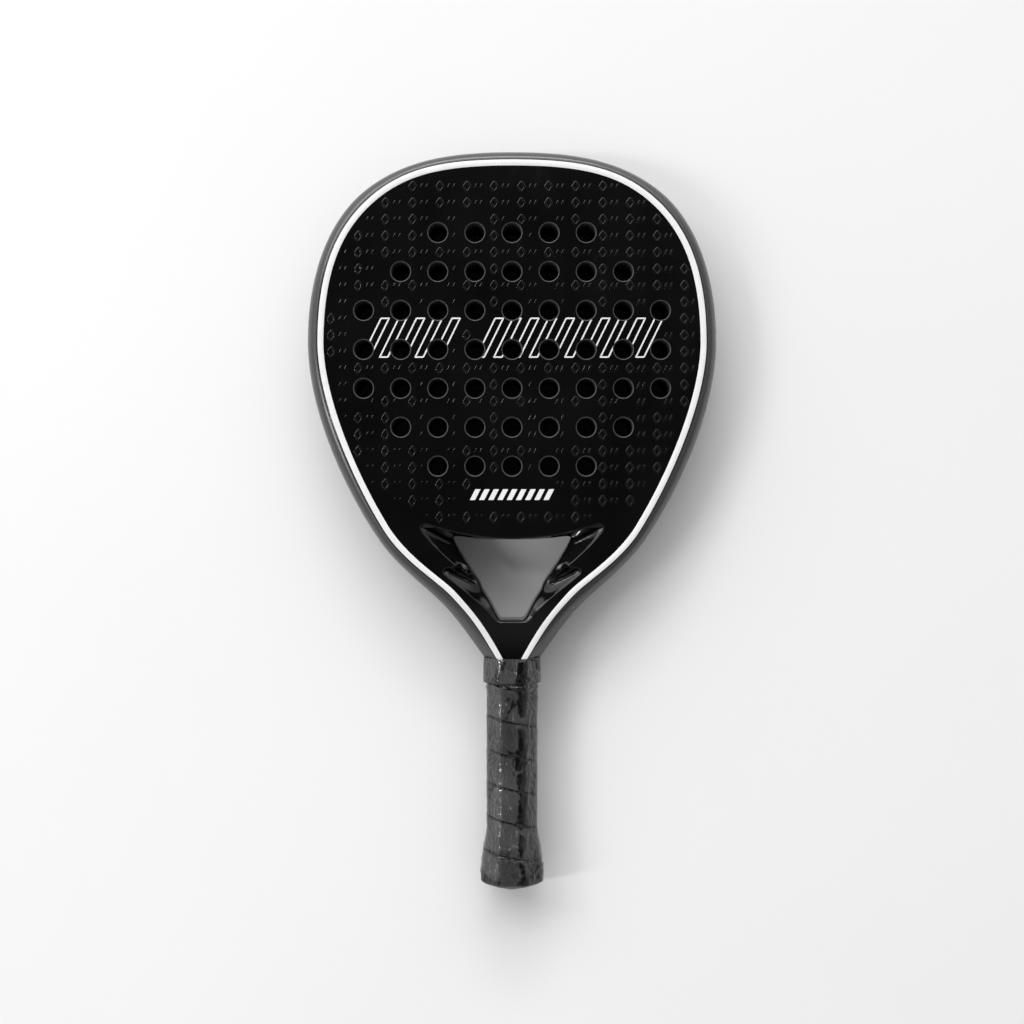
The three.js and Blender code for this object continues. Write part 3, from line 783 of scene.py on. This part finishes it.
def print_shapes():
    """Each printed shape as an outer loop and an inner loop or None."""
    shapes = []
    for left, count in BAND_GROUPS:
        for i in range(count):
            x = left + (BAND_BAR["width"] + BAND_BAR["lean"]) / 2 + i * BAND_PITCH
            outer = slanted_bar(x, BAND_Y, **BAND_BAR)
            shapes.append((outer, offset_loop(outer, STROKE)))
    for i in range(MARK_BARS):
        x = (i - (MARK_BARS - 1) / 2) * MARK_PITCH
        shapes.append((slanted_bar(x, MARK_Y, **MARK_BAR), None))
    return shapes


shapes = print_shapes()
print_outline = np.vstack([loop for shape in shapes for loop in shape if loop is not None])

# The texture repeats on one grid: the outline of a lozenge and two leaning bars.
RELIEF_PITCH = (16.53, 10.07)
RELIEF_FIRST = (-109.9, 213.9)
RELIEF_ROWS = 24
RELIEF_COLUMNS = 15
LOZENGE_HALF = (2.3, 3.3)
LOZENGE_REACH = 3.0
LEANING_BAR = {"width": 1.4, "height": 4.2, "lean": 1.8, "radius": 0.6, "longest": 1.2}
LEANING_AWAY = (5.2, 8.4)
LEANING_REACH = 2.4


def relief():
    """The hitting surface's raised texture."""
    field = anticlockwise(both_sides(half_line(BORDER_WIDTH)))

    def clear(x, y, reach):
        """Whether a motif there keeps off the border, the arc, the print and the holes."""
        if not inside(circle(x, y, reach + 0.6, 12), field).all():
            return False
        if math.hypot(x, y - ARC_CENTRE_Y) > ARC_RADIUS - reach - 1.5:
            return False
        if np.hypot(print_outline[:, 0] - x, print_outline[:, 1] - y).min() < reach + 0.5:
            return False
        if abs(x) < MARK_CLEAR[0] and abs(y - MARK_Y) < MARK_CLEAR[1]:
            return False
        return off_holes(np.array([(x, y)]), HOLE_RIM + reach).all()

    parts = []
    half_x, half_y = LOZENGE_HALF
    for row in range(RELIEF_ROWS):
        y = RELIEF_FIRST[1] - row * RELIEF_PITCH[1]
        for column in range(RELIEF_COLUMNS):
            x = RELIEF_FIRST[0] + column * RELIEF_PITCH[0]
            if clear(x, y, LOZENGE_REACH):
                lozenge = [(x, y - half_y), (x + half_x, y), (x, y + half_y), (x - half_x, y)]
                parts.append(ridge_loop(rounded_corners(lozenge, 0.9, 4), width=1.4, crest=0.4))
            for away in LEANING_AWAY:
                if clear(x + away, y, LEANING_REACH):
                    parts.append(pad(slanted_bar(x + away, y, **LEANING_BAR), slope=0.55))
    return joined(*parts)


texture = relief()
for side, brought in SIDES:
    make_piece(side + "_relief", brought(texture), LACQUER, 75)


def printed_shape(outer, inner):
    """One flat shape of the print, with the holes left out of it."""
    middle = outer.mean(axis=0)
    reach = np.hypot(*(outer - middle).T).max() + HOLE_RADIUS + 2
    near = [c for c in hole_centres if math.hypot(middle[0] - c[0], middle[1] - c[1]) < reach]
    cut = HOLE_RIM + 0.15
    loops = [outer] if inner is None else [outer, inner]
    loops += [circle(x, y, cut, HOLE_SIDES) for x, y in near]

    def kept(centres):
        keep = inside(centres, outer) & off_holes(centres, cut - 0.03, near)
        return keep if inner is None else keep & ~inside(centres, inner)

    flat, triangles = fill(loops, kept)
    triangles = without_slivers(flat, triangles)
    return used_only(at_height(flat, THICKNESS + PRINT_RAISE), triangles.tolist())


whole_print = joined(*[printed_shape(outer, inner) for outer, inner in shapes])
for side, brought in SIDES:
    make_piece(side + "_print", brought(whole_print), PRINT_WHITE, weld_within=None)


# ---- frame rim ----

# The rim's line and its inward directions and depths under the collar.
RIM_END = [(14.6, -88.5), (13.1, -93.0)]
RIM_END_INWARD = [(-0.93, 0.37), (-1, 0)]
RIM_END_DEPTH = [6.4, 6.0]
RIM_SIDE = 6.6  # half height of the flat band round the outside
RIM_ROUND_STEPS = 15
RIM_ROUND_POWER = 1.15


def rim_section(y, depth):
    """Half a section of the rim at y, as (distance in, height), from its outside to its inside."""
    thin = float(taper(y))
    side = RIM_SIDE * thin * (1 - 0.15 * np.clip(-y / 84, 0, 1))
    top = (MID_Z - 0.75) * thin
    chamfer = 0.8 * float(np.clip((-40 - y) / 44, 0, 1))  # round on the head, flatter on the arms
    section = [(0, 0.0), (0, side / 2)]
    for t in np.linspace(0, 1, RIM_ROUND_STEPS):
        angle = t * math.pi / 2
        round_u = depth * (1 - math.cos(angle) ** RIM_ROUND_POWER)
        round_h = side + (top - side) * math.sin(angle)
        u = round_u + (depth * t - round_u) * chamfer
        h = round_h + (side + (top - side) * t - round_h) * chamfer
        section.append((u, h))
    lip = [(0.35, top - 0.5), (2, top - 1.2), (5.5, top - 1.2), (5.5, 0)]
    return section + [(depth + u, h) for u, h in lip]


def rim_shell():
    """The painted outside of the frame tube, from the edge of one face round to the other."""
    path = np.vstack([half_rim, RIM_END])
    inward = np.vstack([half_inward, RIM_END_INWARD])
    inward /= np.linalg.norm(inward, axis=1, keepdims=True)
    depths = np.concatenate([half_depth, RIM_END_DEPTH]) - FACE_MARGIN
    rings = []
    for p, n, depth in zip(path, inward, depths):
        section = rim_section(p[1], depth)
        lower = [(u, -h) for u, h in reversed(section[1:-1])]
        rings.append([(p[0] + n[0] * u, p[1] + n[1] * u, MID_Z + h) for u, h in section + lower])
    rings = np.array(rings)
    left = rings[:0:-1] * (-1, 1, 1)
    return skin(np.vstack([left, rings]), caps=True)


make_piece("frame_rim", rim_shell(), RIM_PAINT, 60, "frame_tube")

CORE_INSET = 9
CORE_LOW_Y = -4
UNDER_FACE = THICKNESS - FACE_THICK + 0.3  # just inside the front face


def core_block():
    """The foam core, with drilled walls down every hole."""
    half = half_line(CORE_INSET)
    outline = anticlockwise(both_sides(half[half[:, 1] > CORE_LOW_Y]))
    loops = [outline] + [hole_loop(x, y, HOLE_RADIUS + 0.08) for x, y in hole_centres]
    flat, triangles = fill(loops, lambda c: inside(c, outline) & off_holes(c, HOLE_RADIUS))
    low, high = THICKNESS - UNDER_FACE, UNDER_FACE
    parts = [
        (at_height(flat, low), triangles[:, ::-1].tolist()),
        (at_height(flat, high), triangles.tolist()),
    ]
    for loop in loops:
        parts.append(skin([at_height(loop, z) for z in (low, MID_Z, high)]))
    return joined(*parts)


make_piece("core_block", core_block(), FOAM, 40, "core_foam")


# ---- throat bridge ----

# The lines on the right that the two scoops fall from, and the step that crosses each scoop.
GILL_EDGES = [
    [(55.4, -4.2), (48.4, -13.1), (39, -22), (31.5, -28.4), (26, -32)],
    [
        (41.8, -31), (35.3, -36.4), (28.5, -41.8), (21.8, -47.6),
        (14.5, -54.4), (12.3, -57.8), (8.7, -61.3), (0, -61.3),
    ],
]
RIDGES = [((54.3, -4.2), (37.6, -13.2)), ((40.2, -30.0), (23.6, -38.2))]
RIDGE_STEPS = (2.2, 2.0)
RIDGE_CREST = 0.9
SCOOP_START = 0.6
SCOOP_DEPTHS = [(-61.5, 1.2), (-56, 4.5), (-44, 8.0), (-36, 8.5), (-24, 9.5), (-9, 10.0)]
LIP_ROUND = 1.4
BRIDGE_GRID = 0.6
EDGE_ROWS = (0.5, 1.1, 1.7)


def distance_to(points, line):
    """Distance from points to a line of segments."""
    best = np.full(len(points), 1e9)
    for a, b in zip(line[:-1], line[1:]):
        a, b = np.array(a, float), np.array(b, float)
        t = np.clip(((points - a) @ (b - a)) / ((b - a) @ (b - a)), 0, 1)
        best = np.minimum(best, np.linalg.norm(points - (a + t[:, None] * (b - a)), axis=1))
    return best


def scoop_depth(points):
    """How far the bridge's surface lies below the face, at points of the throat."""
    p = np.column_stack([np.abs(points[:, 0]), points[:, 1]])
    to_gill = np.minimum(distance_to(p, GILL_EDGES[0]), distance_to(p, GILL_EDGES[1]))
    to_gill[~inside(points, cutout_loop)] = 0.0
    to_opening = distance_to(p, [tuple(q) for q in np.vstack([opening_loop, opening_loop[:1]])])
    share = to_gill / (to_gill + to_opening + 1e-6)
    deepest = np.interp(p[:, 1], *zip(*SCOOP_DEPTHS))
    reach = np.clip((to_gill + to_opening) / 7.0, 0.55, 1.0)
    depth = SCOOP_START + deepest * reach * share**0.8
    for (a, b), step in zip(RIDGES, RIDGE_STEPS):
        a, b = np.array(a), np.array(b)
        along = ((p - a) @ (b - a)) / ((b - a) @ (b - a))
        unit = (b - a) / np.linalg.norm(b - a)
        side = (p - a) @ np.array([-unit[1], unit[0]])
        fade = smoothstep((along + 0.05) / 0.2) * smoothstep((1.08 - along) / 0.2)
        depth += step * fade * smoothstep((-side - 0.2) / 1.6) * smoothstep((9 + side) / 4)
        depth -= RIDGE_CREST * fade * np.exp(-((side / 0.55) ** 2))
    lip = np.clip(1 - to_opening / LIP_ROUND, 0, 1)
    return depth + LIP_ROUND * (1 - np.sqrt(np.clip(1 - lip * lip, 0, 1)))


def bridge():
    """The moulded throat bridge: two stepped scoops on each side of the opening, front and back."""
    outer = offset_loop(cutout_loop, -0.7)
    closed = np.vstack([outer, outer[:1]])
    grid = grid_points((-57, 57.1), (-62, 0.1), BRIDGE_GRID)
    grid = grid[inside(grid, outer)]
    rows = [grid[distance_to(grid, closed) > 2.2]]
    for away in EDGE_ROWS:
        row = offset_loop(outer, away)
        rows.append(row[inside(row, outer) & (distance_to(row, closed) > 0.95 * away)])
    grid = np.vstack(rows)
    grid = grid[~inside(grid, offset_loop(opening_loop, -0.4))]
    loops = [outer, opening_loop]
    flat, triangles = fill(loops, lambda c: inside(c, outer) & ~inside(c, opening_loop), grid)

    def lifted(loop):
        return at_height(loop, THICKNESS - scoop_depth(loop))

    def below(points):
        return points * (1, 1, -1) + (0, 0, THICKNESS)

    top = lifted(flat)
    parts = [(top, triangles.tolist()), (below(top), triangles[:, ::-1].tolist())]
    for loop in (outer, opening_loop[::-1]):
        edge = lifted(loop)
        parts.append(skin([edge, edge * (1, 1, 0) + (0, 0, MID_Z), below(edge)]))

    # Walls round the bridge, under the edge of each face's cut-out.
    wall_out, wall_in = offset_loop(cutout_loop, -1.6), offset_loop(cutout_loop, -0.12)
    for low, high in ((MID_Z + 1, UNDER_FACE), (THICKNESS - UNDER_FACE, MID_Z - 1)):
        corners = ((wall_out, low), (wall_out, high), (wall_in, high), (wall_in, low))
        parts.append(skin([at_height(loop, z) for loop, z in corners], wrap_rings=True))
    points, faces = joined(*parts)
    return with_taper(points), faces


make_piece("throat_moulding", bridge(), LACQUER, 50, "throat_bridge")


# ---- handle ----

AROUND = 180  # points round the handle


def octagon_loop(half_x, half_z, bevel, radius):
    """A rounded octagon, evenly divided, that starts at the middle of the front facet."""
    corners = [
        (bevel - half_x, half_z), (half_x - bevel, half_z),
        (half_x, half_z - bevel), (half_x, bevel - half_z),
        (half_x - bevel, -half_z), (bevel - half_x, -half_z),
        (-half_x, bevel - half_z), (-half_x, half_z - bevel),
    ]
    loop = rounded_corners(corners, radius, 6)
    start = int(np.argmax(loop[:, 1] - 0.001 * np.abs(loop[:, 0])))
    loop = np.roll(loop, -start, axis=0)
    closed = np.vstack([loop, loop[:1]])
    along = np.concatenate([[0], np.cumsum(np.linalg.norm(np.diff(closed, axis=0), axis=1))])
    at = np.linspace(0, along[-1], AROUND, endpoint=False)
    if closed[0, 0] < 0 < closed[4, 0]:
        middle = np.interp(0, closed[:5, 0], along[:5])
    else:
        middle = -closed[0, 0]
    at = (at + middle) % along[-1]
    return np.column_stack([np.interp(at, along, closed[:, k]) for k in (0, 1)])


def handle_rings(stations, radius=2.6, shape=None):
    """Rings along the handle at (y, offset) stations; shape(y, loop) adds to the offset."""
    rings = []
    for y, offset in stations:
        half_x, half_z = GRIP_HALF[0] + offset, GRIP_HALF[1] + offset
        loop = octagon_loop(half_x, half_z, GRIP_BEVEL + offset * BEVEL_GROWTH, radius)
        if shape is not None:
            outward = offset_loop(loop, 1.0) - loop
            loop = loop + outward * shape(y, loop)[:, None]
        rings.append(np.column_stack([loop[:, 0], np.full(AROUND, y), MID_Z + loop[:, 1]]))
    return rings


def flare_offset(y):
    ys, offsets = zip(*FLARE[::-1])
    return float(np.interp(y, ys, offsets))


def seam_phase(y, loop):
    """0 to 1 from one seam of the cushion tape to the next, at the points of a ring."""
    turn = np.arctan2(loop[:, 0], loop[:, 1]) / (2 * math.pi)
    return ((TAPE_SEAM_Y - y) / TAPE_PITCH - turn - 0.25) % 1.0


def tape_profile(y, loop):
    """The lap of the wound tape: a groove at each seam, and a lap that sinks towards the next."""
    phase = seam_phase(y, loop)
    groove = np.exp(-((phase / 0.04) ** 2)) + np.exp(-(((1 - phase) / 0.02) ** 2))
    return 0.25 * (1 - phase) - 0.55 * groove - 0.15


def handle_ys(start, end, step=0.7):
    return np.linspace(start, end, int(abs(end - start) / step) + 1)


TAPE_TOP_Y = -93
TAPE_END_Y = -220.6
TAPE_SUNK = 0.12
TAPE_INSIDE = 1.9
FILM_TOP_Y = -84.0
FILM_END_Y = -222.0
FILM_STEP = 0.55
FILM_LOOSE = 0.25
COLLAR_END_Y = -99.3
COLLAR_OUT = 1.9


def tape_wrap():
    """The wound cushion tape, as one sleeve with a lap that spirals down it."""
    stations = [(y, flare_offset(y) - TAPE_SUNK) for y in handle_ys(TAPE_TOP_Y, TAPE_END_Y)]
    outer = handle_rings(stations, shape=tape_profile)
    inner_ys = (TAPE_END_Y, -205, TAPE_TOP_Y)
    inner = handle_rings([(y, flare_offset(y) - TAPE_INSIDE) for y in inner_ys])
    return skin(outer + inner, wrap_rings=True)


def crease(point, size, sharpness):
    """0 away from the creases of a folded sheet and 1 along them."""
    return max(0.0, 1 - abs(noise.noise(Vector(point) / size)) * sharpness)


def film_offset(y):
    """The film without wrinkles: over the collar, tucked in below it, out over the flare."""
    over = float(smoothstep((y - COLLAR_END_Y + 1.2) / 1.6))
    tuck = -0.25 * math.exp(-(((y - COLLAR_END_Y + 1.3) / 0.8) ** 2))
    fold = 0.4 * math.exp(-(((y - COLLAR_END_Y + 2.9) / 0.7) ** 2))
    return COLLAR_OUT * over + flare_offset(y) + tuck + fold


def film_shape(y, loop):
    """Wrinkles: loose air, fine crinkles, long creases, and the tape's seams showing through."""
    free = min(1.0, (FILM_TOP_Y - y) / 4 + 0.15) * min(1.0, (y - FILM_END_Y) / 5 + 0.3)
    near_end = math.exp(-(((y + 212) / 12) ** 2)) + math.exp(-(((y + 99) / 7) ** 2))
    out = np.zeros(len(loop))
    for k, (x, z) in enumerate(loop):
        bubble = noise.noise(Vector((x, y * 0.8, z + 40)) / 6.5)
        fine = crease((x + 7, y * 1.2, z), 3.4, 3.6) ** 2
        long = crease((x, y * 0.4, z), 8.0, 7.0) ** 2
        gather = crease((x * 0.5, y * 1.6, z * 0.5 + 9), 6.0, 6.0) ** 2
        out[k] = 0.2 * bubble + 0.16 * fine + 0.26 * long + 0.45 * near_end * gather
    seams = 0.75 * tape_profile(y, loop) if y < COLLAR_END_Y - 1 else 0.0
    return free * out + seams + 0.1


FILM_INSIDE = 0.992  # the film's inner side, as a share of its outer side


def film_sleeve():
    """The clear film: a thin wrinkled sleeve over the collar, the tape and the cap's flare."""
    ys = handle_ys(FILM_TOP_Y, FILM_END_Y, FILM_STEP)
    stations = [(y, film_offset(y) + FILM_LOOSE) for y in ys]
    outer = handle_rings(stations, radius=2.4, shape=film_shape)
    inner = []
    for ring in outer[::-1]:
        x, y, z = ring.T
        inner.append(np.column_stack([x * FILM_INSIDE, y, MID_Z + (z - MID_Z) * FILM_INSIDE]))
    return skin(outer + inner, wrap_rings=True)


wrap = make_piece("cushion_wrap", tape_wrap(), GRIP, 50, "base_grip")
make_piece("film_sleeve", film_sleeve(), FILM, 70, "grip_film", 0.001)

# The collar's section, as (y, offset) of its rings.
COLLAR_PROFILE = [
    (-86.0, 1.0), (-86.2, 1.5), (-86.9, 1.8), (-92, 1.85), (-98.4, 1.8),
    (-99.1, 1.5), (-99.3, 1.0), (-99.0, 0.75), (-87, 0.75),
]
collar = skin(handle_rings(COLLAR_PROFILE), wrap_rings=True)
make_piece("collar_band", collar, COLLAR, 50, "grip_collar")

# The butt cap as (y, offset) of octagonal rings, one ring between, and (y, radius) of round ones.
CAP_OCTAGONS = [
    (-205, 0.2), (-219.5, 1.7), (-220.9, 1.8), (-221.0, 3.3), (-221.3, 3.6), (-221.9, 3.4),
    (-222.6, 2.9), (-223.3, 2.0), (-224.0, 0.8), (-224.7, -0.9), (-225.4, -3.0), (-226.0, -5.0),
]
CAP_BETWEEN = {"y": -226.6, "offset": -7.2, "radius": 7.5, "share": 0.35}
CAP_CIRCLES = [(-227.2, 6.1), (-227.5, 5.2), (-227.4, 4.75), (-227.0, 4.5), (-215.2, 4.5)]


def round_ring(y, radius):
    """A circle about the handle's axis, with its points where those of an octagon are."""
    turn = -np.arange(AROUND) / AROUND * 2 * math.pi + math.pi / 2
    x, z = radius * np.cos(turn), MID_Z + radius * np.sin(turn)
    return np.column_stack([x, np.full(AROUND, y), z])


def cap_body():
    """The butt cap: a rounded end under the flare of the tape, with a cord hole in its face."""
    y, share = CAP_BETWEEN["y"], CAP_BETWEEN["share"]
    octagon = handle_rings([(y, CAP_BETWEEN["offset"])])[0]
    between = octagon * (1 - share) + round_ring(y, CAP_BETWEEN["radius"]) * share
    return skin([*handle_rings(CAP_OCTAGONS), between, *[round_ring(*c) for c in CAP_CIRCLES]])


make_piece("cap_end", cap_body(), CAP, 40, "butt_cap")

# Hidden pieces, which keep the frame's shapes.
HIDDEN_FINISH = {"handle_core": FOAM, "handle_sleeve": LAMINATE, "finishing_tape": TAPE}
for way in ("front", "left", "back", "right"):
    HIDDEN_FINISH["cap_staple_" + way] = STEEL
for node, material in HIDDEN_FINISH.items():
    solid = frame["nodes"][node]
    solid.data.materials.clear()
    solid.data.materials.append(material)


# ---- stage, light and camera ----

FLOOR_REACH = 2600.0


def floor_material():
    """A matt white floor, faintly uneven."""
    n = Nodes("white_floor")
    n.set(Roughness=0.75, Specular_IOR_Level=0.25)
    tone = n.noise(3, 4, 0.5)
    n.vary("Base Color", tone, [(0.3, (0.84, 0.84, 0.845)), (0.7, (0.86, 0.86, 0.865))])
    n.bump(n.noise(250, 3, 0.6), 0.02, 0.0005)
    return n.material


def floor():
    corners = np.array([(-1, -1), (1, -1), (1, 1), (-1, 1)]) * FLOOR_REACH
    mesh = bpy.data.meshes.new("floor")
    mesh.from_pydata((at_height(corners, FLOOR_Z) * MM).tolist(), [], [(0, 1, 2, 3)])
    mesh.materials.append(floor_material())
    plane = bpy.data.objects.new("floor", mesh)
    bpy.context.scene.collection.objects.link(plane)


floor()

LIT_POINT = Vector((0, 0.06, 0))


def area_light(name, position, size, power):
    """A rectangular lamp that faces the racket's head."""
    data = bpy.data.lights.new(name, "AREA")
    data.shape = "RECTANGLE"
    data.size, data.size_y = size
    data.energy = power
    light = bpy.data.objects.new(name, data)
    light.location = position
    light.rotation_euler = (LIT_POINT - Vector(position)).to_track_quat("-Z", "Y").to_euler()
    bpy.context.scene.collection.objects.link(light)


KEY_TILT = math.radians(50)
KEY_AZIMUTH = math.radians(126)
KEY_DISTANCE = 3.2
key_position = (
    KEY_DISTANCE * math.sin(KEY_TILT) * math.cos(KEY_AZIMUTH),
    KEY_DISTANCE * math.sin(KEY_TILT) * math.sin(KEY_AZIMUTH),
    KEY_DISTANCE * math.cos(KEY_TILT),
)

# The key and the small lamp stand behind the crown on the left, the crown lamp straight behind it
# and the strip beside the handle on the left.
area_light("key", key_position, (1.6, 1.4), 20)
area_light("small_lamp", (-2.12, 1.3, 2.02), (0.4, 0.4), 9)
area_light("crown_lamp", (-0.1, 3.0, 1.5), (1.6, 0.35), 24)
area_light("side_strip", (-2.2, -0.3, 2.05), (0.1, 1.0), 18)


WALL_LEVEL = 1.03
WINDOW_LEVEL = 1.8


def world():
    """The studio: a dark ceiling and pale walls, brightest behind the crown on the left."""
    made = bpy.data.worlds.new("studio")
    made.use_nodes = True
    tree = made.node_tree
    coords = tree.nodes.new("ShaderNodeTexCoord").outputs["Generated"]

    def ramp(value, stops):
        return ramp_node(tree, value, stops)

    def combined(operation, a, b):
        return math_node(tree, operation, a, b)

    def towards(direction):
        """1 in a direction, 0 in the opposite one."""
        node = tree.nodes.new("ShaderNodeVectorMath")
        node.operation = "DOT_PRODUCT"
        node.inputs[1].default_value = direction
        tree.links.new(coords, node.inputs[0])
        return combined("ADD", combined("MULTIPLY", node.outputs["Value"], 0.5), 0.5)

    split = tree.nodes.new("ShaderNodeSeparateXYZ")
    tree.links.new(coords, split.inputs[0])
    height = split.outputs["Z"]
    up_walls = ramp(height, [(0.0, 0.7), (0.6, 1.0), (0.84, 1.0), (0.93, 0.4), (0.97, 0.03)])
    round_walls = ramp(
        towards((-0.5, 0.866, 0)), [(0.05, 0.28), (0.45, 0.6), (0.72, 0.88), (0.95, 1.2)]
    )
    walls = combined("MULTIPLY", up_walls, round_walls)

    # A bright window behind the crown.
    up_window = ramp(height, [(0.25, 0.3), (0.42, 1.0), (0.7, 1.0), (0.76, 0.0)])
    across_window = ramp(towards((-0.1, 0.995, 0)), [(0.74, 0.0), (0.84, 1.0)])
    window = combined("MULTIPLY", up_window, across_window)

    # A dark panel, which the texture's steep sides mirror on the middle and right of the face.
    panel = ramp(towards((-0.52, 0.3, 0.8)), [(0.955, 1.0), (0.98, 0.1)])
    walls = combined("MULTIPLY", walls, panel)
    walls = combined("MULTIPLY", walls, WALL_LEVEL)
    level = combined("ADD", walls, combined("MULTIPLY", window, WINDOW_LEVEL))
    background = tree.nodes["Background"]
    tree.links.new(level, background.inputs["Strength"])
    background.inputs["Color"].default_value = (1, 1, 1, 1)
    bpy.context.scene.world = made


world()

# The camera looks straight down on the racket.
CAMERA_POSITION = (0.0, 0.0059, 0.888)
CAMERA_LENS = 49.1
CAMERA_SENSOR = 36

camera_data = bpy.data.cameras.new("camera")
camera_data.lens = CAMERA_LENS
camera_data.sensor_width = CAMERA_SENSOR
camera = bpy.data.objects.new("camera", camera_data)
camera.location = CAMERA_POSITION
bpy.context.scene.collection.objects.link(camera)
bpy.context.scene.camera = camera
bpy.context.scene.view_settings.view_transform = "Standard"
